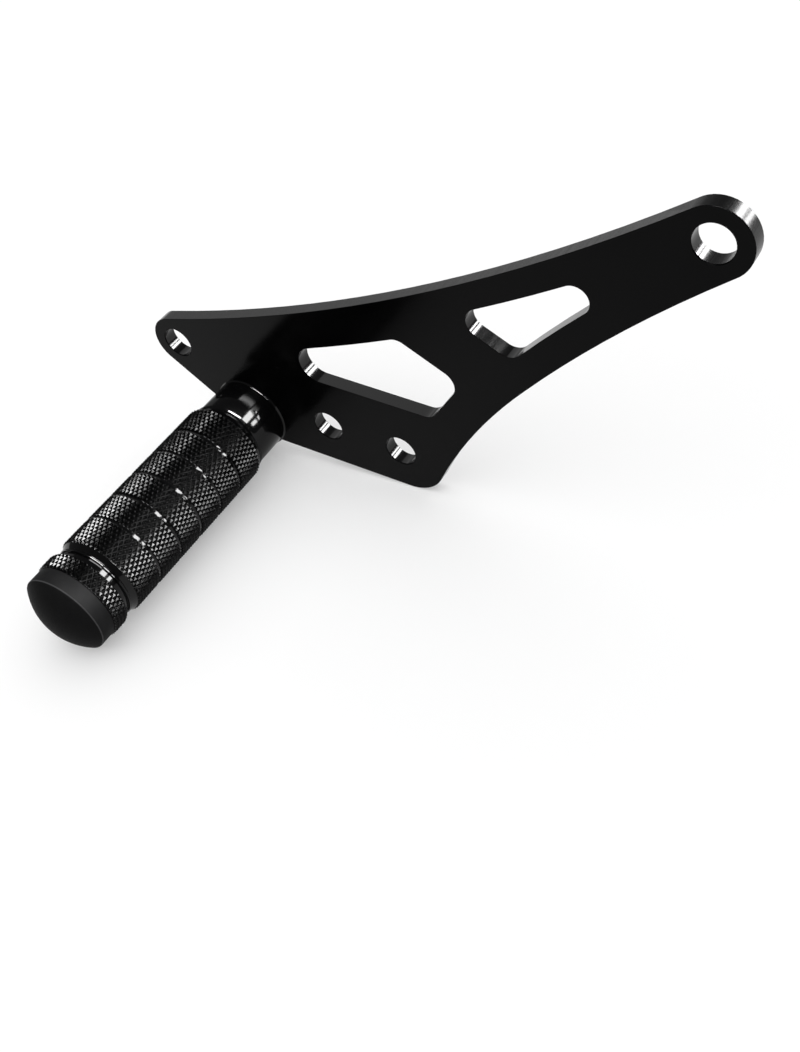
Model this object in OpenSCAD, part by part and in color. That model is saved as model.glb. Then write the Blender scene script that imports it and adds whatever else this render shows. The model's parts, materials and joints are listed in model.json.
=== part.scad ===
// Footpeg lock bracket: a flat plate cut to tangent arcs, with a turned and knurled peg
// bolted square to its front face near the heel and a domed plug in the peg's outer end.
// The plate is drawn with the tip hole at 0,0 and the heel hole on -x, then turned so that
// the part rests on the peg and on the plate's low corner: +Z up, the peg along -Y.

/* [Plate] */
// thickness of the plate
plate_t = 6; // [4:0.5:9]
// distance between the tip hole and the heel hole
hole_span = 243.5; // [238:0.5:250]
// diameter of the four bolt holes
hole_d = 13; // [9:0.5:14]
// edge break round each bolt hole
hole_break = 0.3; // [0.1:0.1:0.8]
// radius of the plate round the tip hole
tip_r = 12; // [10.5:0.5:14]
// radius of the plate round the heel hole
heel_r = 11.6; // [10.6:0.2:13]
// radius of the long hollow top edge
top_arc_r = 718; // [620:1:900]

/* [Lower edge] */
// low corner's centre, left of the tip hole
corner_x = 156.5; // [152:0.5:162]
// low corner's centre, below the tip hole
corner_y = 65.8; // [63:0.1:69]
// radius of the low corner
corner_r = 16.2; // [13:0.1:18]
// slope of the straight lower edge, in degrees
lower_a = 26; // [24:0.5:28]
// slope of the straight heel edge, in degrees
heel_a = 60.8; // [58:0.2:63]
// radius of the hollow edge beside the low corner
edge_near_r = 240; // [220:1:260]
// radius of the hollow edge beside the tip
edge_far_r = 518; // [480:1:560]
// lean of the far hollow's radius where it meets the tip, in degrees
edge_lean_a = 13.3; // [12.5:0.1:14.5]

/* [Hole pair] */
// distance between the two lower holes
pair_pitch = 33.7; // [28:0.1:35]
// distance of the pair from the straight lower edge
pair_inset = 18; // [15:0.5:20]
// pair's right hole, back from the corner's centre along the edge
pair_back = 2.6; // [0:0.1:5]

/* [Windows] */
// plate left above the large window
big_rim = 15.6; // [13:0.2:18]
// plate left between the large window and the lower edge
big_low_rim = 41; // [39:0.5:43]
// plate left between the large window and the hollow edge
big_side_rim = 15.4; // [13:0.2:17]
// radius of the large window's left end
big_end_r = 8.1; // [7:0.1:8.6]
// radius of the large window's other corners
big_corner_r = 6.4; // [4:0.2:7]
// slope of the rib between the windows, in degrees
rib_a = 52; // [49:0.5:55]
// width of the rib between the windows
rib_w = 25; // [20:0.5:28]
// rib's tip side, square from the tip hole
rib_back = 85.4; // [82:0.2:90]
// plate left above the small window
small_rim = 10; // [8:0.5:11]
// plate left below the small window
small_low_rim = 11; // [9:0.5:12]
// radius of the small window's left corners
small_corner_r = 6; // [4:0.2:6.4]
// radius of the small window's nose
small_nose_r = 5.4; // [5:0.1:6]

/* [Peg] */
// length of the peg, from the plate to its knurled end
peg_len = 112.2; // [100:0.2:124]
// peg's axis, left of the tip hole
peg_x = 226.9; // [222:0.1:229]
// peg's axis, below the heel and tip holes
peg_y = 37.9; // [36:0.1:40]
// radius of the plate's ear behind the peg
ear_r = 14; // [12.5:0.5:15.5]
// diameter of the peg's collar
collar_d = 32; // [30:0.5:33]
// length of the collar, from the plate
collar_len = 16.8; // [14:0.2:20]
// bevel on the collar's outer end
collar_bevel = 1.6; // [0.6:0.2:2.4]
// flare of the collar's foot on the plate
foot_flare = 0.6; // [0.2:0.1:1]
// diameter of the neck between the collar and the grip
neck_d = 29; // [26:0.5:29.5]
// width of the neck
neck_w = 0.5; // [0.3:0.1:1.5]
// diameter of the knurled grip
grip_d = 36; // [34:0.5:40]
// length of the bevel at each end of the grip
grip_bevel = 3.5; // [2:0.1:4.5]
// depth of the bevel at each end of the grip
grip_bevel_h = 2.2; // [1:0.1:2.6]
// number of bands on the grip
bands = 6; // [4:1:8]
// width of the half-round grooves between the bands
groove_w = 1.4; // [0.8:0.1:2]
// depth of the hollow waist below the bevels
waist_h = 1.4; // [0.8:0.1:2.2]
// length of the hollow waist
waist_len = 3.6; // [2.6:0.1:5]
// length of the knurled ring
ring_len = 7.2; // [6:0.1:10]
// bevel on the ring's edges
ring_bevel = 0.6; // [0.3:0.1:1]

/* [End plug] */
// plug's diameter
plug_d = 34.6; // [32:0.1:35]
// length of the plug's side wall
plug_side = 6.5; // [4:0.1:10]
// height of the plug's dome
plug_dome_h = 6.6; // [3:0.1:8]
// diameter of the plug's spigot
spigot_d = 16; // [12:0.5:20]
// length of the plug's spigot
spigot_len = 18; // [12:0.5:24]
// space left past the spigot's end in the peg's bore
spigot_room = 1; // [0.5:0.5:3]
// radial gap round the spigot
spigot_gap = 0.05; // [0.02:0.01:0.1]

/* [Screw] */
// screw's thread diameter
screw_d = 10; // [8:1:12]
// radial gap between the screw and the plate
screw_gap = 0.25; // [0.1:0.05:0.5]
// radial gap between the screw and the peg's tapped hole
thread_gap = 0.05; // [0.02:0.01:0.1]
// length of the screw inside the peg
screw_grip = 22; // [16:1:28]
// space left past the screw's end in the peg's tapped hole
screw_room = 3; // [1:0.5:5]
// screw head's diameter
head_d = 16; // [14:0.5:18]
// screw head's height
head_h = 10; // [8:0.5:12]
// edge break on the screw's head
head_break = 0.8; // [0.3:0.1:1.2]
// size of the hexagon socket across its flats
hex_af = 8; // [6:1:10]
// depth of the hexagon socket
hex_h = 5; // [3:0.5:6]
// diameter of the washer
washer_d = 20; // [18:0.5:24]
// thickness of the washer
washer_t = 2; // [1.5:0.5:3]

/* [Hidden] */
$fn = 96;
arc_fn = 720;
// turned steps that round the grip's outer end
round_steps = 6;
// how far each curve of a drawn edge runs into the next, so that they cross at one point
lap = 0.02;

// a unit step from one point to another, and the points where two circles or a line and a
// circle meet
function unit(v) = v / norm(v);
function turn(p, a) = [p[0] * cos(a) - p[1] * sin(a), p[0] * sin(a) + p[1] * cos(a)];
function meet(c1, r1, c2, r2, side) =
    let (d = norm(c2 - c1), u = (c2 - c1) / d, a = (d * d + r1 * r1 - r2 * r2) / (2 * d))
    c1 + a * u + side * sqrt(r1 * r1 - a * a) * [-u[1], u[0]];
function meet_line(c, r, n, off, side) =
    let (h = off - c * n)
    c + h * n + side * sqrt(r * r - h * h) * [-n[1], n[0]];

// centres and tangent points of the outline
tip = [0, 0];
heel = [-hole_span, 0];
low = [-corner_x, -corner_y];
peg = [-peg_x, -peg_y];
top_c = meet(heel, top_arc_r + heel_r, tip, top_arc_r + tip_r, 1);
far_c = (edge_far_r + tip_r) * [sin(edge_lean_a), -cos(edge_lean_a)];
near_c = meet(low, edge_near_r + corner_r, far_c, edge_far_r - edge_near_r, 1);
lower_n = [-sin(lower_a), -cos(lower_a)];
lower_off = low * lower_n + corner_r;
heel_n = [-sin(heel_a), -cos(heel_a)];
heel_off = heel * heel_n + heel_r;
rib_n = [sin(rib_a), cos(rib_a)];
heel_foot = peg + (heel_off - lap - peg * heel_n) * heel_n;
lower_foot = peg + (lower_off - lap - peg * lower_n) * lower_n;
edge_join = far_c + edge_far_r * unit(near_c - far_c);

// bolt hole places
pair_b = low + (corner_r - pair_inset) * lower_n - pair_back * [cos(lower_a), -sin(lower_a)];
pair_a = pair_b - pair_pitch * [cos(lower_a), -sin(lower_a)];
holes = [tip, heel, pair_a, pair_b];

// large window: centres of its four corners
big_low_off = lower_off - big_low_rim;
big_rib_off = -rib_back - rib_w;
big_1 = meet_line(top_c, top_arc_r + big_rim + big_end_r, lower_n, big_low_off - big_end_r, 1);
big_2 = meet_line(top_c, top_arc_r + big_rim + big_corner_r, rib_n, big_rib_off - big_corner_r, -1);
big_3 = meet_line(near_c, edge_near_r + big_side_rim + big_corner_r, rib_n,
    big_rib_off - big_corner_r, 1);
big_4 = meet_line(near_c, edge_near_r + big_side_rim + big_corner_r, lower_n,
    big_low_off - big_corner_r, -1);

// small window: centres of its three corners
small_off = -rib_back;
small_1 = meet_line(top_c, top_arc_r + small_rim + small_corner_r, rib_n,
    small_off + small_corner_r, -1);
small_2 = meet(top_c, top_arc_r + small_rim + small_nose_r, far_c,
    edge_far_r + small_low_rim + small_nose_r, -1);
small_3 = meet_line(far_c, edge_far_r + small_low_rim + small_corner_r, rib_n,
    small_off + small_corner_r, 1);

// stations along the peg, from the plate's front face
grip_z = collar_len + neck_w;
band_z = grip_z + grip_bevel;
ring_z = peg_len - ring_len;
waist_z = ring_z - waist_len;
band_end = waist_z - grip_bevel;
band_pitch = (band_end - band_z) / bands;
plug_end = peg_len + plug_side;
bevel_r = grip_d / 2 - grip_bevel_h;
round_r = (grip_bevel * grip_bevel + grip_bevel_h * grip_bevel_h) / (2 * grip_bevel_h);
round_a = asin(grip_bevel / round_r);
waist_r = (pow(waist_len / 2, 2) + waist_h * waist_h) / (2 * waist_h);
dome_r = (pow(plug_d / 2, 2) + plug_dome_h * plug_dome_h) / (2 * plug_dome_h);

// the way the part rests: on the grip's underside and on the low corner
rest_gap = norm(low - peg);
rest_a = atan2(peg[1] - low[1], low[0] - peg[0]) - asin((grip_d / 2 - corner_r) / rest_gap);
rest_z = grip_d / 2 - turn(peg, rest_a)[1];
mid_x = (turn(heel, rest_a)[0] - heel_r + tip_r) / 2;
mid_y = (plate_t + washer_t + head_h - plug_end - plug_dome_h) / 2;

// which piece to draw

// from the plate's drawing to the resting frame
module place() {
    translate([-mid_x, -mid_y, rest_z])
        rotate([90, 0, 0])
            rotate([0, 0, rest_a])
                children();
}

module disc(c, r) {
    translate(c)
        circle(r = r);
}

module large_disc(c, r) {
    translate(c)
        circle(r = r, $fn = arc_fn);
}

// points at a rounded corner: where a straight side leaves it, and outside it where a large
// circle trims the side
function straight_end(c, r, n) = c + (r - lap) * n;
function curved_end(c, r, far) = c + (r + 1) * unit(far - c);

// the far half of the lower edge, from where the two arcs meet to beyond the tip
module far_sector() {
    intersection() {
        large_disc(far_c, edge_far_r + lap);
        polygon([far_c, far_c + 1.02 * (edge_join - far_c), tip + [2 * tip_r, 0]]);
    }
}

module outline() {
    difference() {
        polygon([
            tip,
            curved_end(tip, tip_r, top_c),
            curved_end(heel, heel_r, top_c),
            heel,
            straight_end(heel, heel_r, heel_n),
            heel_foot,
            peg,
            lower_foot,
            straight_end(low, corner_r, lower_n),
            low,
            curved_end(low, corner_r, near_c),
            curved_end(tip, tip_r, far_c)
        ]);
        large_disc(top_c, top_arc_r + lap);
        large_disc(near_c, edge_near_r + 2 * lap);
        far_sector();
    }
    disc(tip, tip_r);
    disc(heel, heel_r);
    disc(low, corner_r);
    disc(peg, ear_r);
}

module big_window() {
    difference() {
        polygon([
            big_1,
            straight_end(big_1, big_end_r, lower_n),
            straight_end(big_4, big_corner_r, lower_n),
            big_4,
            curved_end(big_4, big_corner_r, near_c),
            curved_end(big_3, big_corner_r, near_c),
            big_3,
            straight_end(big_3, big_corner_r, rib_n),
            straight_end(big_2, big_corner_r, rib_n),
            big_2,
            curved_end(big_2, big_corner_r, top_c),
            curved_end(big_1, big_end_r, top_c)
        ]);
        large_disc(top_c, top_arc_r + big_rim + lap);
        large_disc(near_c, edge_near_r + big_side_rim + lap);
    }
    disc(big_1, big_end_r);
    disc(big_2, big_corner_r);
    disc(big_3, big_corner_r);
    disc(big_4, big_corner_r);
}

module small_window() {
    difference() {
        polygon([
            small_1,
            straight_end(small_1, small_corner_r, -rib_n),
            straight_end(small_3, small_corner_r, -rib_n),
            small_3,
            curved_end(small_3, small_corner_r, far_c),
            curved_end(small_2, small_nose_r, far_c),
            small_2,
            curved_end(small_2, small_nose_r, top_c),
            curved_end(small_1, small_corner_r, top_c)
        ]);
        large_disc(top_c, top_arc_r + small_rim + lap);
        large_disc(far_c, edge_far_r + small_low_rim + lap);
    }
    disc(small_1, small_corner_r);
    disc(small_2, small_nose_r);
    disc(small_3, small_corner_r);
}

// a round hole through the plate, with both of its edges broken
module bolt_hole(d, b) {
    translate([0, 0, -plate_t - 1])
        cylinder(d = d, h = plate_t + 2);
    for (s = [0, 1])
        translate([0, 0, -s * plate_t])
            rotate([s * 180, 0, 0])
                translate([0, 0, -b])
                    cylinder(r1 = d / 2, r2 = d / 2 + 2 * b, h = 2 * b);
}

module plate() {
    color([0.03, 0.03, 0.032])
        place()
            difference() {
                translate([0, 0, -plate_t])
                    linear_extrude(plate_t)
                        difference() {
                            outline();
                            big_window();
                            small_window();
                        }
                for (h = holes)
                    translate(h)
                        bolt_hole(hole_d, hole_break);
                translate(peg)
                    bolt_hole(screw_d + 2 * screw_gap, hole_break);
            }
}

// half section of the peg, radius across and distance from the plate up
module peg_section() {
    difference() {
        polygon([
            [0, 0],
            [collar_d / 2 + foot_flare, 0],
            [collar_d / 2 + foot_flare, foot_flare],
            [collar_d / 2, 2 * foot_flare],
            [collar_d / 2, collar_len - 1.5 * collar_bevel],
            [collar_d / 2 - collar_bevel / 2, collar_len],
            [neck_d / 2, collar_len],
            [neck_d / 2, grip_z],
            [bevel_r, grip_z],
            [grip_d / 2, band_z],
            for (i = [0 : round_steps])
                [grip_d / 2 - round_r * (1 - cos(round_a * i / round_steps)),
                    band_end + round_r * sin(round_a * i / round_steps)],
            [bevel_r, ring_z],
            [grip_d / 2 - ring_bevel, ring_z],
            [grip_d / 2, ring_z + ring_bevel],
            [grip_d / 2, peg_len - ring_bevel],
            [grip_d / 2 - ring_bevel, peg_len],
            [0, peg_len]
        ]);
        translate([bevel_r + waist_r - waist_h, waist_z + waist_len / 2])
            circle(r = waist_r);
        for (i = [1 : bands - 1])
            translate([grip_d / 2, band_z + i * band_pitch])
                circle(d = groove_w);
    }
}

module peg() {
    color([0.05, 0.05, 0.052])
        place()
            translate(peg)
                difference() {
                    rotate_extrude()
                        peg_section();
                    translate([0, 0, -1])
                        cylinder(r = screw_d / 2 + thread_gap, h = 1 + screw_grip + screw_room);
                    translate([0, 0, peg_len - spigot_len - spigot_room])
                        cylinder(r = spigot_d / 2 + spigot_gap, h = spigot_len + spigot_room + 1);
                }
}

module end_plug() {
    color([0.13, 0.13, 0.13])
        place()
            translate([peg[0], peg[1], peg_len]) {
                cylinder(d = plug_d, h = plug_side);
                translate([0, 0, -spigot_len])
                    cylinder(d = spigot_d, h = spigot_len + 1);
                translate([0, 0, plug_side])
                    rotate_extrude()
                        intersection() {
                            translate([0, plug_dome_h - dome_r])
                                circle(r = dome_r);
                            translate([0, -1])
                                square([plug_d / 2, plug_dome_h + 1]);
                        }
            }
}

module washer() {
    color([0.6, 0.6, 0.62])
        place()
            translate([peg[0], peg[1], -plate_t - washer_t])
                difference() {
                    cylinder(d = washer_d, h = washer_t);
                    translate([0, 0, -1])
                        cylinder(r = screw_d / 2 + screw_gap, h = washer_t + 2);
                }
}

module screw() {
    color([0.1, 0.1, 0.1])
        place()
            translate([peg[0], peg[1], -plate_t - washer_t])
                difference() {
                    union() {
                        translate([0, 0, -head_h])
                            rotate_extrude()
                                polygon([
                                    [0, 0],
                                    [head_d / 2 - head_break, 0],
                                    [head_d / 2, head_break],
                                    [head_d / 2, head_h],
                                    [0, head_h]
                                ]);
                        translate([0, 0, -1])
                            cylinder(d = screw_d, h = screw_grip + plate_t + washer_t + 1);
                    }
                    translate([0, 0, -head_h - 1])
                        cylinder(d = hex_af / cos(30), h = hex_h + 1, $fn = 6);
                }
}

plate();
peg();
end_plug();
washer();
screw();
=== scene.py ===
"""The looks of the footpeg lock bracket: its finishes, the knurled peg, the domed plug, the
plate's broken edges, the studio and the camera. Lengths are in millimetres until they are
scaled by MM, and the studio's are in metres."""

import json
import math

import bmesh
import bpy
from mathutils import Matrix, Vector

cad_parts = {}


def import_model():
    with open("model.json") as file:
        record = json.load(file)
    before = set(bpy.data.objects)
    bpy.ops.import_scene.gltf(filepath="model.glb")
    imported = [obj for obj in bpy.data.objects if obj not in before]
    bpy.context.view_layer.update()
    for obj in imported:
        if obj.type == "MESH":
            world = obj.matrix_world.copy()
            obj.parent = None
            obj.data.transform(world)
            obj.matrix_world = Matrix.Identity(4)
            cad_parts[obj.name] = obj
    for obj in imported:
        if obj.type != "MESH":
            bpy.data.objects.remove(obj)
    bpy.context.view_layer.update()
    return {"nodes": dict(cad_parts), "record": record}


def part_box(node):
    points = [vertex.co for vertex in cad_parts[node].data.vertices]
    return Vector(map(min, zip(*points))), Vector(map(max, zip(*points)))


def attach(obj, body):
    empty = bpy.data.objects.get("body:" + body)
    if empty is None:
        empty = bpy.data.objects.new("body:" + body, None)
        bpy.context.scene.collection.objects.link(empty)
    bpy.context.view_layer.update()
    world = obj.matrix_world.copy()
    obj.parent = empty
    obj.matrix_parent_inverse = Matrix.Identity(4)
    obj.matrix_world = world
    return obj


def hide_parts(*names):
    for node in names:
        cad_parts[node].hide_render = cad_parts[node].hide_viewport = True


MM = 0.001

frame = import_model()

# The photograph's camera: where it stands, what it looks at, how far it is turned about its own
# line of sight, and its focal length in pixels of the 800 by 1052 frame.
IMAGE_SIZE = (800, 1052)
CAMERA_AT = Vector((221.33, -223.60, 325.17))
CAMERA_TARGET = Vector((-22.48, 53.65, -26.77))
CAMERA_ROLL = math.radians(14.69)
FOCAL_PIXELS = 1225.3
SENSOR = 24.0

# The peg's radii and lengths. A station is a distance from the plate's front face.
COLLAR_R = 16.0
COLLAR_LEN = 16.8
COLLAR_BEVEL = 1.6
FOOT_FLARE = 0.6
NECK_R = 14.5
NECK_W = 0.5
GRIP_R = 18.0
BEVEL_LEN = 3.5
BEVEL_DROP = 2.2
BANDS = 6
BAND_PITCH = 12.85
GROOVE_W = 1.55
GROOVE_HOLLOW = 0.045
GROOVE_STEPS = 3
WAIST_LEN = 3.6
WAIST_H = 0.4
RING_LEN = 7.2
RING_BEVEL = 0.6

# The plug: it reaches a little into the peg, and a narrow soft rim parts its side from its dome; the
# rim's band carries a painted highlight.
PLUG_R = 17.3
PLUG_SIDE = 6.5
PLUG_SEAT = 0.2
PLUG_CHAMFER = 0.3
RIM_W = 0.25
RIM_BREAK = 0.06
DOME_H = 6.6
DOME_SHARE = 0.985
DOME_STEPS = 24

BAND_START = COLLAR_LEN + NECK_W + BEVEL_LEN
BAND_END = BAND_START + BANDS * BAND_PITCH
WAIST_START = BAND_END + BEVEL_LEN
RING_START = WAIST_START + WAIST_LEN
PEG_END = RING_START + RING_LEN

# The knurl: diamonds round the grip, the step between their rows along it and their height, the
# share of its cell that a diamond's flat top and its foot take, how far the foot stands above the
# valleys' crossings, the metal under them, the slopes that the grip's outer end and the ring's
# two ends are turned to, and how many slices the mesh is cut into along such a slope.
KNURL_ROUND = 54
KNURL_STEP = 1.75
KNURL_H = 0.6
KNURL_TOP = 0.1
KNURL_FOOT = 0.76
KNURL_FLOOR = 0.04
SLEEVE = 0.3
END_DROP = 0.766
RING_SLOPE = 1.25
CHAMFER_SLICES = 3

# The turned bar under the knurl: its depth under the valleys, the depth of its grooves, and its
# fillets and short steps.
SEAT = 0.05
GROOVE_SINK = 0.28
FOOT_FILLET = 0.25
COLLAR_FLAT = 4
NECK_FILLET = 0.2
SHOULDER_DROP = 0.15
SHOULDER_LEN = 1.9
SHOULDER_FILLET = 1.2
BAND_LEAD = 2
WAIST_FILLET = 2.0
WAIST_FALL = 0.1
RING_FOOT = 0.3
RING_LIP = 0.02
RING_STEP = 0.1
PEG_STEPS = 192
PLUG_STEPS = 128

# The plate: its broken edges, the stretch before the tip in which its walls grow rougher, and
# the radii about the tip hole between which a wall counts as the tip's outer wall.
EDGE_BREAK = 0.12
TIP_START = 22
TIP_END = 14
TIP_WALL_R = (10, 14)

# The studio: the share of plain white in the floor, the world's grey, the floor's half width in
# metres, and how far it lies below the part, so that the two don't share a face.
FLOOR_GLOW = 0.35
AMBIENT = 0.15
FLOOR_HALF = 6
FLOOR_DROP = 0.2

# Tolerances for finding edges, in metres.
CLOSE = 1e-6
NEAR = 1e-5

peg_low, peg_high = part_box("peg")
PEG_AXIS = (peg_low + peg_high) * 0.5
PLATE_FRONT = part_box("plate")[0].y
TIP_HOLE = next(m["pos_m"] for m in frame["record"]["mounts"] if m["name"] == "tip_hole")


# Helpers


def link(obj):
    bpy.context.scene.collection.objects.link(obj)
    return obj


def mesh_object(name, verts, faces):
    mesh = bpy.data.meshes.new(name)
    mesh.from_pydata(verts, [], faces)
    mesh.validate()
    mesh.update()
    return link(bpy.data.objects.new(name, mesh))


def shade(obj, angle):
    """Smooth shading, with every edge sharper than the angle kept crisp."""
    bm = bmesh.new()
    bm.from_mesh(obj.data)
    for face in bm.faces:
        face.smooth = True
    for edge in bm.edges:
        edge.smooth = len(edge.link_faces) == 2 and edge.calc_face_angle(0) < math.radians(angle)
    bm.to_mesh(obj.data)
    bm.free()


def on_peg(radius, angle, station):
    """A point of the peg from its radius, the angle round its axis and its station."""
    return Vector(
        (
            PEG_AXIS.x + radius * math.cos(angle) * MM,
            PLATE_FRONT - station * MM,
            PEG_AXIS.z + radius * math.sin(angle) * MM,
        )
    )


def lathe(name, profile, steps):
    """A solid turned about the peg's axis. The profile is (radius, station) pairs, from one
    point of the axis to another."""
    verts, faces, rings = [], [], []
    for radius, station in profile:
        if radius == 0:
            rings.append([len(verts)])
            verts.append(on_peg(0, 0, station))
        else:
            rings.append(list(range(len(verts), len(verts) + steps)))
            verts += [on_peg(radius, math.tau * k / steps, station) for k in range(steps)]
    for a, b in zip(rings, rings[1:]):
        for k in range(steps):
            n = (k + 1) % steps
            if len(a) == 1:
                faces.append((a[0], b[n], b[k]))
            elif len(b) == 1:
                faces.append((a[k], a[n], b[0]))
            else:
                faces.append((a[k], a[n], b[n], b[k]))
    obj = mesh_object(name, verts, faces)
    fix_normals(obj)
    return obj


def fix_normals(obj):
    bm = bmesh.new()
    bm.from_mesh(obj.data)
    bmesh.ops.recalc_face_normals(bm, faces=bm.faces)
    bm.to_mesh(obj.data)
    bm.free()


def knurl_band(start, end, start_drop=0.0, end_drop=0.0):
    """One closed sleeve of pointed diamonds, cut out of a knurl that runs on through every band.
    Diamond centres sit where column plus line is even, and the valleys cross where it is odd.
    An end with a drop is turned down by that much for each millimetre beyond its station."""
    columns = 2 * KNURL_ROUND
    valley = GRIP_R - KNURL_H
    low = start - (KNURL_H / start_drop if start_drop else 0)
    high = end + (KNURL_H / end_drop if end_drop else 0)
    first = math.floor((low - BAND_START) / KNURL_STEP) - 1
    last = math.ceil((high - BAND_START) / KNURL_STEP) + 1
    bm = bmesh.new()
    index = {}

    def point(column, line, radius):
        column %= columns
        key = (round(column, 3), round(line, 3), radius)
        if key not in index:
            angle = math.tau * column / columns
            index[key] = bm.verts.new(on_peg(radius, angle, BAND_START + line * KNURL_STEP))
        return index[key]

    around = ((1, 0), (0, 1), (-1, 0), (0, -1))
    levels = ((KNURL_TOP, GRIP_R), (KNURL_FOOT, valley + KNURL_FLOOR), (1, valley))
    for line in range(first, last + 1):
        for column in range(line % 2, columns, 2):
            rings = [
                [point(column + k * x, line + k * z, radius) for x, z in around]
                for k, radius in levels
            ]
            bm.faces.new(rings[0])
            for inner, outer in zip(rings, rings[1:]):
                for a in range(4):
                    b = (a + 1) % 4
                    bm.faces.new((inner[a], outer[a], outer[b], inner[b]))
    for column in range(columns):
        ends = [(column, first), (column + 1, first), (column + 1, last), (column, last)]
        bm.faces.new([point(c, line, valley - SLEEVE) for c, line in ends])
    for station, way in ((low, 1), (high, -1)):
        slice_at(bm, station, way, True)
        rim = [e for e in bm.edges if e.is_boundary and edge_at(e, station)]
        bmesh.ops.triangle_fill(bm, edges=rim, use_beauty=True, normal=(0, way, 0))
    for near, far in ((low, start), (end, high)):
        for step in range(CHAMFER_SLICES + 1):
            if far > near:
                slice_at(bm, near + (far - near) * step / CHAMFER_SLICES, 1, False)
    for vert in bm.verts:
        station = (PLATE_FRONT - vert.co.y) / MM
        beyond = max((start - station) * start_drop, (station - end) * end_drop)
        flat = Vector((vert.co.x - PEG_AXIS.x, 0, vert.co.z - PEG_AXIS.z))
        if beyond > 0 and flat.length > (GRIP_R - beyond) * MM:
            vert.co -= flat * (1 - (GRIP_R - beyond) * MM / flat.length)
    bmesh.ops.recalc_face_normals(bm, faces=bm.faces)
    return bm


def slice_at(bm, station, way, clear):
    """Cuts the mesh across the peg's axis, and clears what lies beyond the cut if told to."""
    bmesh.ops.bisect_plane(
        bm,
        geom=bm.verts[:] + bm.edges[:] + bm.faces[:],
        plane_co=on_peg(0, 0, station),
        plane_no=(0, way, 0),
        dist=CLOSE / 10,
        clear_outer=clear,
    )


def edge_at(edge, station):
    return all(abs(v.co.y - on_peg(0, 0, station).y) < CLOSE for v in edge.verts)


# Materials


def new_material(name, specular, colour=None):
    """A material and its shader. A material without a colour is given one by tint."""
    material = bpy.data.materials.new(name)
    material.use_nodes = True
    shader = material.node_tree.nodes["Principled BSDF"]
    shader.inputs["Specular IOR Level"].default_value = specular
    if colour:
        shader.inputs["Base Color"].default_value = (*colour, 1)
    return material, shader


def noise(material, scale, detail, stretch=(1, 1, 1)):
    """Noise in object coordinates, its scale in features per millimetre. A small stretch factor
    draws it out along that axis."""
    nodes, links = material.node_tree.nodes, material.node_tree.links
    where = nodes.new("ShaderNodeTexCoord")
    mapping = nodes.new("ShaderNodeMapping")
    mapping.inputs["Scale"].default_value = [s / MM for s in stretch]
    texture = nodes.new("ShaderNodeTexNoise")
    texture.inputs["Scale"].default_value = scale
    texture.inputs["Detail"].default_value = detail
    links.new(where.outputs["Object"], mapping.inputs["Vector"])
    links.new(mapping.outputs["Vector"], texture.inputs["Vector"])
    return texture.outputs["Fac"]


def along(material, axis):
    """One object coordinate, in metres."""
    nodes, links = material.node_tree.nodes, material.node_tree.links
    where = nodes.new("ShaderNodeTexCoord")
    split = nodes.new("ShaderNodeSeparateXYZ")
    links.new(where.outputs["Object"], split.inputs["Vector"])
    return split.outputs[axis]


def plus(material, first, second):
    """The sum of two values."""
    node = material.node_tree.nodes.new("ShaderNodeMath")
    material.node_tree.links.new(first, node.inputs[0])
    material.node_tree.links.new(second, node.inputs[1])
    return node.outputs["Value"]


def remap(material, value, low, high, start=0.3, end=0.7):
    """A value that runs from low to high while the given one runs from start to end."""
    node = material.node_tree.nodes.new("ShaderNodeMapRange")
    node.inputs["From Min"].default_value = start
    node.inputs["From Max"].default_value = end
    node.inputs["To Min"].default_value = low
    node.inputs["To Max"].default_value = high
    material.node_tree.links.new(value, node.inputs["Value"])
    return node.outputs["Result"]


def bump(material, shader, value, strength, depth):
    """Fine relief from a value, its depth in millimetres."""
    node = material.node_tree.nodes.new("ShaderNodeBump")
    node.inputs["Strength"].default_value = strength
    node.inputs["Distance"].default_value = depth * MM
    material.node_tree.links.new(value, node.inputs["Height"])
    material.node_tree.links.new(node.outputs["Normal"], shader.inputs["Normal"])


def tint(material, shader, value, dark, light):
    """A colour that runs from dark to light with a value."""
    node = material.node_tree.nodes.new("ShaderNodeMix")
    node.data_type = "RGBA"
    factor, first, second = node.inputs[0], node.inputs[6], node.inputs[7]
    first.default_value = (*dark, 1)
    second.default_value = (*light, 1)
    material.node_tree.links.new(value, factor)
    material.node_tree.links.new(node.outputs[2], shader.inputs["Base Color"])


def roughen(material, shader, value):
    material.node_tree.links.new(value, shader.inputs["Roughness"])


def plate_finish():
    """Satin black anodising, with slow clouds in its gloss."""
    material, shader = new_material("plate_satin", 0.052)
    cloud = noise(material, 0.05, 3)
    roughen(material, shader, remap(material, cloud, 0.12, 0.18))
    tint(material, shader, cloud, (0.0006, 0.0006, 0.0007), (0.0012, 0.0012, 0.0013))
    bump(material, shader, noise(material, 3.0, 4), 0.06, 0.02)
    return material


def wall_finish(name, specular):
    """A cut and anodised wall, marked through the plate's thickness and rougher at the tip."""
    material, shader = new_material(name, specular, (0.002, 0.002, 0.0022))
    marks = noise(material, 0.6, 3, (1.0, 0.05, 1.0))
    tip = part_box("plate")[1].x
    place = along(material, "X")
    worn = remap(material, place, 0, 0.12, tip - TIP_START * MM, tip - TIP_END * MM)
    roughen(material, shader, plus(material, remap(material, marks, 0.1, 0.18), worn))
    bump(material, shader, marks, 0.25, 0.03)
    return material


def peg_finish():
    """Gloss anodising over the fine rings that turning leaves."""
    material, shader = new_material("peg_anodised", 0.2, (0.002, 0.002, 0.0022))
    marks = noise(material, 1.0, 3, (0.1, 6.0, 0.1))
    roughen(material, shader, remap(material, marks, 0.07, 0.13))
    bump(material, shader, marks, 0.1, 0.02)
    return material


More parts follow.
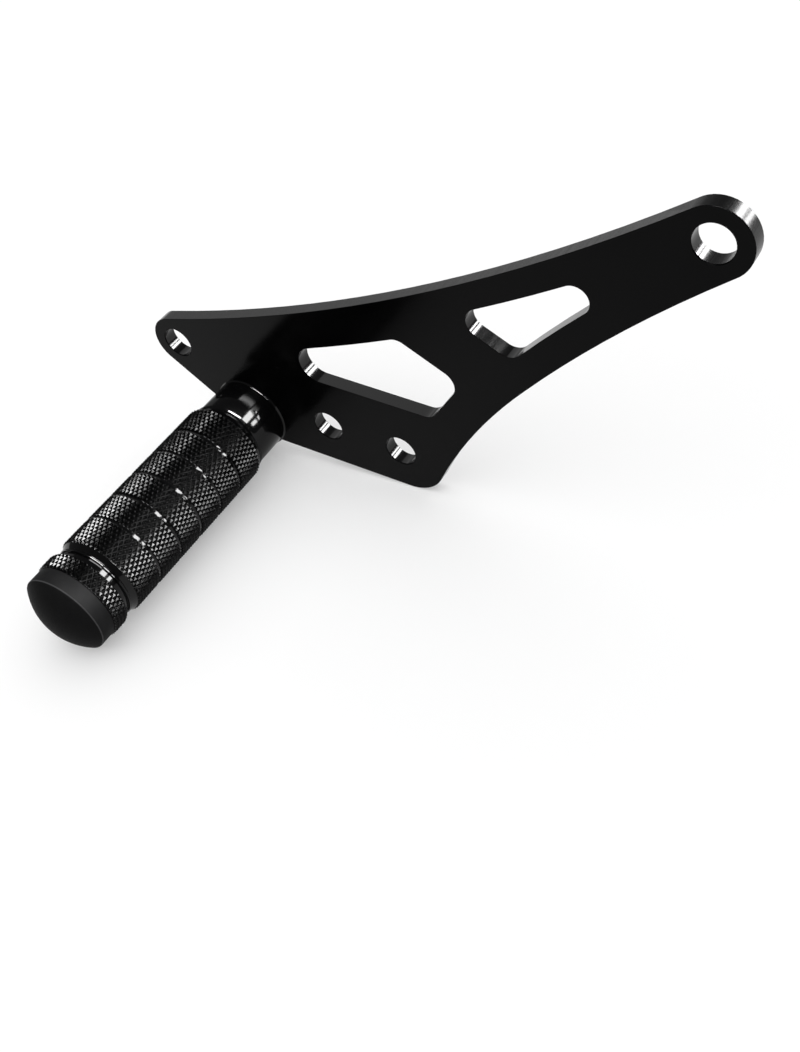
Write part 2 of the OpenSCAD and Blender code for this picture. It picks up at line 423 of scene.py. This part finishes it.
def knurl_finish():
    """The diamonds' flanks, glossier on the upper side of the grip."""
    material, shader = new_material("knurl_anodised", 0.09, (0.0006, 0.0006, 0.0007))
    wear = remap(material, noise(material, 0.6, 4), 0.12, 0.22)
    low, high = PEG_AXIS.z + GRIP_R / 2 * MM, PEG_AXIS.z + GRIP_R * 5 / 6 * MM
    side = remap(material, along(material, "Z"), 0.1, 0, low, high)
    roughen(material, shader, plus(material, wear, side))
    bump(material, shader, noise(material, 1.3, 2), 0.35, 0.06)
    return material


def valley_finish():
    """The dull floors between the diamonds."""
    material, shader = new_material("knurl_valley", 0.02, (0.0005, 0.0005, 0.0006))
    roughen(material, shader, remap(material, noise(material, 1.0, 3), 0.2, 0.3))
    return material


def plug_finish(name, dark, light):
    """Matte moulded plastic with a fine grain."""
    material, shader = new_material(name, 0.03)
    grain = noise(material, 2.2, 5)
    roughen(material, shader, remap(material, grain, 0.5, 0.66))
    tint(material, shader, noise(material, 0.25, 4), dark, light)
    bump(material, shader, grain, 0.25, 0.05)
    return material


def steel_finish():
    """Black oxide on the washer and the screw."""
    material, shader = new_material("black_oxide", 0.5, (0.03, 0.03, 0.032))
    shader.inputs["Metallic"].default_value = 0.6
    grain = noise(material, 1.5, 4)
    roughen(material, shader, remap(material, grain, 0.28, 0.45))
    bump(material, shader, grain, 0.1, 0.02)
    return material


def dress(obj, material):
    obj.data.materials.clear()
    obj.data.materials.append(material)


# Pieces


def plate_piece():
    """The CAD plate with its sharp edges broken, and with finishes of their own for its walls."""
    mesh = frame["nodes"]["plate"].data.copy()
    obj = link(bpy.data.objects.new("plate_body", mesh))
    bm = bmesh.new()
    bm.from_mesh(mesh)
    bmesh.ops.remove_doubles(bm, verts=bm.verts, dist=CLOSE)
    flat = [
        e
        for e in bm.edges
        if len(e.link_faces) == 2 and all(abs(f.normal.y) > 0.9999 for f in e.link_faces)
    ]
    bmesh.ops.dissolve_limit(bm, angle_limit=math.radians(1), verts=[], edges=flat)
    bm.to_mesh(mesh)
    bm.free()
    bevel = obj.modifiers.new("edge_break", "BEVEL")
    bevel.width = EDGE_BREAK * MM
    bevel.segments = 1
    bevel.limit_method = "ANGLE"
    bevel.angle_limit = math.radians(60)
    apply_modifiers(obj)
    shade(obj, 30)
    dress(obj, plate_finish())
    obj.data.materials.append(wall_finish("plate_cut_wall", 0.3))
    obj.data.materials.append(wall_finish("plate_tip_wall", 0.17))
    inner, outer = TIP_WALL_R
    for face in obj.data.polygons:
        if abs(face.normal.y) < 0.5:
            out = math.hypot(face.center.x - TIP_HOLE[0], face.center.z - TIP_HOLE[2])
            face.material_index = 2 if inner * MM < out < outer * MM else 1
    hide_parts("plate")
    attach(obj, "root")


def apply_modifiers(obj):
    bpy.context.view_layer.update()
    done = obj.evaluated_get(bpy.context.evaluated_depsgraph_get())
    mesh = bpy.data.meshes.new_from_object(done)
    obj.modifiers.clear()
    obj.data = mesh


def soften_ring(obj, radius, station):
    """Rounds the shading over one edge of a turned piece, as a polished shoulder looks."""
    bm = bmesh.new()
    bm.from_mesh(obj.data)
    at = on_peg(radius, 0, station)
    for edge in bm.edges:
        middle = (edge.verts[0].co + edge.verts[1].co) / 2
        off = math.hypot(middle.x - PEG_AXIS.x, middle.z - PEG_AXIS.z) - (at.x - PEG_AXIS.x)
        if abs(middle.y - at.y) < NEAR and abs(off) < NEAR:
            edge.smooth = True
    bm.to_mesh(obj.data)
    bm.free()


def filleted(corners):
    """Profile points from (radius, station, fillet) corners. A fillet is an arc with a short
    straight piece at both ends, which keeps the faces beside it flat. Known fault: slerp gives
    unit vectors, so every arc has a radius of 1 mm about its right centre, whatever its fillet
    is. Multiplying what slerp gives by corner[2] mends it, and changes the peg's shape."""
    out = [corners[0][:2]]
    for before, corner, after in zip(corners, corners[1:], corners[2:]):
        here = Vector(corner[:2])
        if not corner[2]:
            out.append(corner[:2])
            continue
        back = (Vector(before[:2]) - here).normalized()
        ahead = (Vector(after[:2]) - here).normalized()
        half = back.angle(ahead) / 2
        reach = corner[2] / math.tan(half)
        centre = here + (back + ahead).normalized() * corner[2] / math.sin(half)
        start, end = here + back * reach, here + ahead * reach
        steps = max(2, math.ceil((180 - math.degrees(2 * half)) / 9))
        out.append(tuple(start + back * 0.03))
        for k in range(steps + 1):
            out.append(tuple(centre + (start - centre).slerp(end - centre, k / steps)))
        out.append(tuple(end + ahead * 0.03))
    return out + [corners[-1][:2]]


def groove(valley, middle):
    """The corners of one groove, whose floor is a little hollow."""
    side = GROOVE_W / 2 - SEAT
    out = [(valley, middle - GROOVE_W / 2, 0)]
    for step in range(-GROOVE_STEPS, GROOVE_STEPS + 1):
        share = step / GROOVE_STEPS
        out.append((valley - GROOVE_SINK + GROOVE_HOLLOW * share**2, middle + side * share, 0))
    return out + [(valley, middle + GROOVE_W / 2, 0)]


def peg_profile():
    """The turned bar under the knurl, from its foot on the plate to its far end."""
    valley = GRIP_R - KNURL_H - SEAT
    low = GRIP_R - BEVEL_DROP
    waist = low - WAIST_H
    edge = GRIP_R - RING_BEVEL
    neck_end = COLLAR_LEN + NECK_W
    corners = [(0, 0, 0), (COLLAR_R + FOOT_FLARE, 0, 0), (COLLAR_R, FOOT_FLARE, FOOT_FILLET)]
    corners += [(COLLAR_R, COLLAR_FLAT, 0), (COLLAR_R, COLLAR_LEN - COLLAR_BEVEL, 0)]
    corners += [(NECK_R, COLLAR_LEN, 0), (NECK_R, neck_end, 0), (low, neck_end, NECK_FILLET)]
    corners += [(valley - SHOULDER_DROP, BAND_START - SHOULDER_LEN, SHOULDER_FILLET)]
    corners += [(valley, BAND_START, 0), (valley, BAND_START + BAND_LEAD, 0)]
    for k in range(1, BANDS):
        corners += groove(valley, BAND_START + k * BAND_PITCH)
    corners += [(valley, BAND_END + (GRIP_R - valley) / END_DROP, 0)]
    corners += [(waist, BAND_END + (GRIP_R - waist) / END_DROP, WAIST_FILLET)]
    corners += [(waist - WAIST_FALL, RING_START - RING_FOOT, RING_FOOT)]
    corners += [(edge, RING_START, 0), (edge + RING_LIP, RING_START + RING_LIP, 0)]
    corners += [(valley, RING_START + RING_STEP, 0), (valley, PEG_END - RING_STEP, 0)]
    corners += [(edge + RING_LIP, PEG_END - RING_LIP, 0), (edge, PEG_END, 0), (0, PEG_END, 0)]
    return filleted(corners)


def knurl_spans():
    """Each knurled band's start, end and the slopes that its two ends are turned to."""
    spans = []
    for k in range(BANDS):
        start = BAND_START + k * BAND_PITCH + (GROOVE_W / 2 if k else 0)
        end = BAND_START + (k + 1) * BAND_PITCH - (GROOVE_W / 2 if k < BANDS - 1 else 0)
        spans.append((start, end, 0, END_DROP if k == BANDS - 1 else 0))
    spans.append((RING_START + RING_BEVEL, PEG_END - RING_BEVEL, RING_SLOPE, RING_SLOPE))
    return spans


def peg_pieces():
    """The turned bar, and the knurl as one piece of seven closed sleeves."""
    body = lathe("peg_turned", peg_profile(), PEG_STEPS)
    shade(body, 20)
    soften_ring(body, COLLAR_R, COLLAR_LEN - COLLAR_BEVEL)
    dress(body, peg_finish())
    whole = bmesh.new()
    for span in knurl_spans():
        band = knurl_band(*span)
        part = bpy.data.meshes.new("band")
        band.to_mesh(part)
        band.free()
        whole.from_mesh(part)
        bpy.data.meshes.remove(part)
    mesh = bpy.data.meshes.new("peg_knurl")
    whole.to_mesh(mesh)
    whole.free()
    knurl = link(bpy.data.objects.new("peg_knurl", mesh))
    dress(knurl, knurl_finish())
    knurl.data.materials.append(valley_finish())
    for face in knurl.data.polygons:
        out = math.hypot(face.center.x - PEG_AXIS.x, face.center.z - PEG_AXIS.z)
        face.material_index = int(out < (GRIP_R - KNURL_H + KNURL_FLOOR) * MM)
    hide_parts("peg")
    for piece in (body, knurl):
        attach(piece, "root")


def plug_piece():
    """The domed plug, with a soft rim between its side and its dome. Its dome has a darker copy of the
    plastic as painted shade, and its rim a lighter copy as a painted highlight.
    """
    rim = PEG_END + PLUG_SIDE
    dome_r = (PLUG_R**2 + DOME_H**2) / (2 * DOME_H)
    centre = rim + DOME_H - dome_r
    edge = math.asin(PLUG_R / dome_r)
    out = [(0, PEG_END - PLUG_SEAT), (PLUG_R - PLUG_CHAMFER, PEG_END - PLUG_SEAT)]
    out += [(PLUG_R, PEG_END + PLUG_SEAT), (PLUG_R, rim - RIM_W), (PLUG_R - RIM_BREAK, rim - RIM_BREAK)]
    for k in range(DOME_STEPS):
        angle = edge * DOME_SHARE * (1 - k / DOME_STEPS)
        out.append((dome_r * math.sin(angle), centre + dome_r * math.cos(angle)))
    out.append((0, rim + DOME_H))
    plug = lathe("end_plug_dome", out, PLUG_STEPS)
    shade(plug, 25)
    dress(plug, plug_finish("plug_side", (0.006, 0.006, 0.0063), (0.013, 0.013, 0.0135)))
    # Painted shade: the dome gets a darker copy of the side's plastic, because it takes less of the
    # light from above.
    painted_shade_face_finish = plug_finish("plug_face_painted_shade", (0.0018, 0.0018, 0.0019), (0.0045, 0.0045, 0.0047))
    # Painted highlight: the rim's band gets a lighter copy of the plastic, standing in for the light
    # line along the crease.
    painted_highlight_rim_finish = plug_finish("plug_rim_painted_highlight", (0.03, 0.03, 0.031), (0.06, 0.06, 0.062))
    plug.data.materials.append(painted_shade_face_finish)
    plug.data.materials.append(painted_highlight_rim_finish)
    for face in plug.data.polygons:
        station = (PLATE_FRONT - face.center.y) / MM
        # Faces on the rim take the painted highlight, and faces beyond it the painted shade of the
        # dome.
        on_rim = rim - RIM_W < station < rim + RIM_W / 2
        face.material_index = 2 if on_rim else int(station > rim)
    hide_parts("end_plug")
    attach(plug, "root")


# Studio


def camera():
    back = (CAMERA_AT - CAMERA_TARGET).normalized()
    right = Vector((0, 0, 1)).cross(back).normalized()
    up = back.cross(right)
    turned_up = math.cos(CAMERA_ROLL) * up + math.sin(CAMERA_ROLL) * right
    turned_right = turned_up.cross(back)
    data = bpy.data.cameras.new("camera")
    data.sensor_fit = "VERTICAL"
    data.sensor_height = SENSOR
    data.lens = FOCAL_PIXELS / IMAGE_SIZE[1] * SENSOR
    data.clip_start = 0.01
    data.clip_end = 50
    obj = link(bpy.data.objects.new("camera", data))
    turn = Matrix((turned_right, turned_up, back)).transposed().to_4x4()
    obj.matrix_world = Matrix.Translation(CAMERA_AT * MM) @ turn
    bpy.context.scene.camera = obj


def lamp(name, at, size, radiance):
    """A lamp that faces the middle of the part: its size is along Y and across that, in metres."""
    data = bpy.data.lights.new(name, "AREA")
    data.shape = "RECTANGLE"
    data.size, data.size_y = size
    data.energy = radiance * math.pi * size[0] * size[1]
    obj = link(bpy.data.objects.new(name, data))
    obj.location = at
    obj.rotation_euler = Vector((at[0], 0, at[2])).to_track_quat("Z", "Y").to_euler()
    obj.visible_camera = False
    return obj


def card(name, at, size, radiance):
    """A lamp that is seen in glossy surfaces, as a reflector card is, and lights nothing."""
    lamp(name, at, size, radiance).visible_diffuse = False


def largest(material, first, second):
    """The larger of two values."""
    node = material.node_tree.nodes.new("ShaderNodeMath")
    node.operation = "MAXIMUM"
    material.node_tree.links.new(first, node.inputs[0])
    material.node_tree.links.new(second, node.inputs[1])
    return node.outputs["Value"]


def floor():
    """A white floor that keeps the shadow. Camera, glossy and transmission rays see a share of
    plain white in it."""
    r = FLOOR_HALF
    obj = mesh_object("floor", [(-r, -r, 0), (r, -r, 0), (r, r, 0), (-r, r, 0)], [(0, 1, 2, 3)])
    obj.location.z = -FLOOR_DROP * MM
    material, shader = new_material("floor_white", 0.0, (0.9, 0.9, 0.9))
    shader.inputs["Roughness"].default_value = 1.0
    nodes, links = material.node_tree.nodes, material.node_tree.links
    glow = nodes.new("ShaderNodeEmission")
    glow.inputs["Strength"].default_value = 1.0
    path = nodes.new("ShaderNodeLightPath").outputs
    seen = largest(material, path["Is Camera Ray"], path["Is Glossy Ray"])
    seen = largest(material, seen, path["Is Transmission Ray"])
    share = nodes.new("ShaderNodeMath")
    share.operation = "MULTIPLY"
    share.inputs[1].default_value = FLOOR_GLOW
    links.new(seen, share.inputs[0])
    mix = nodes.new("ShaderNodeMixShader")
    links.new(share.outputs["Value"], mix.inputs["Fac"])
    links.new(shader.outputs["BSDF"], mix.inputs[1])
    links.new(glow.outputs["Emission"], mix.inputs[2])
    links.new(mix.outputs["Shader"], nodes["Material Output"].inputs["Surface"])
    dress(obj, material)


def world():
    data = bpy.data.worlds.new("studio")
    bpy.context.scene.world = data
    data.use_nodes = True
    background = data.node_tree.nodes["Background"]
    background.inputs["Color"].default_value = (1, 1, 1, 1)
    background.inputs["Strength"].default_value = AMBIENT


def lights():
    """One soft lamp overhead, and cards for the reflections: two strips give the twin bars on
    walls and grooves, a small bright one the knurl's dots, and two dim ones the walls' grey."""
    lamp("softbox", (-0.1, 0.0, 1.6), (5.0, 5.0), 1.36).visible_glossy = False
    card("strip_high", (0.785, 0.72, 0.874), (2.3, 0.36), 50)
    card("strip_low", (1.019, 0.9, 0.487), (2.0, 0.2), 50)
    card("card_top", (0.14, -0.355, 1.0), (0.2, 0.75), 160)
    card("card_back", (-0.9, 1.1, 1.0), (0.8, 1.2), 0.8)
    card("card_left", (-2.0, 1.8, 0.55), (3.4, 1.0), 0.33)


camera()
world()
floor()
lights()
plate_piece()
peg_pieces()
plug_piece()
steel = steel_finish()
for node in ("washer", "screw"):
    dress(frame["nodes"][node], steel)

bpy.context.scene.view_settings.view_transform = "Standard"
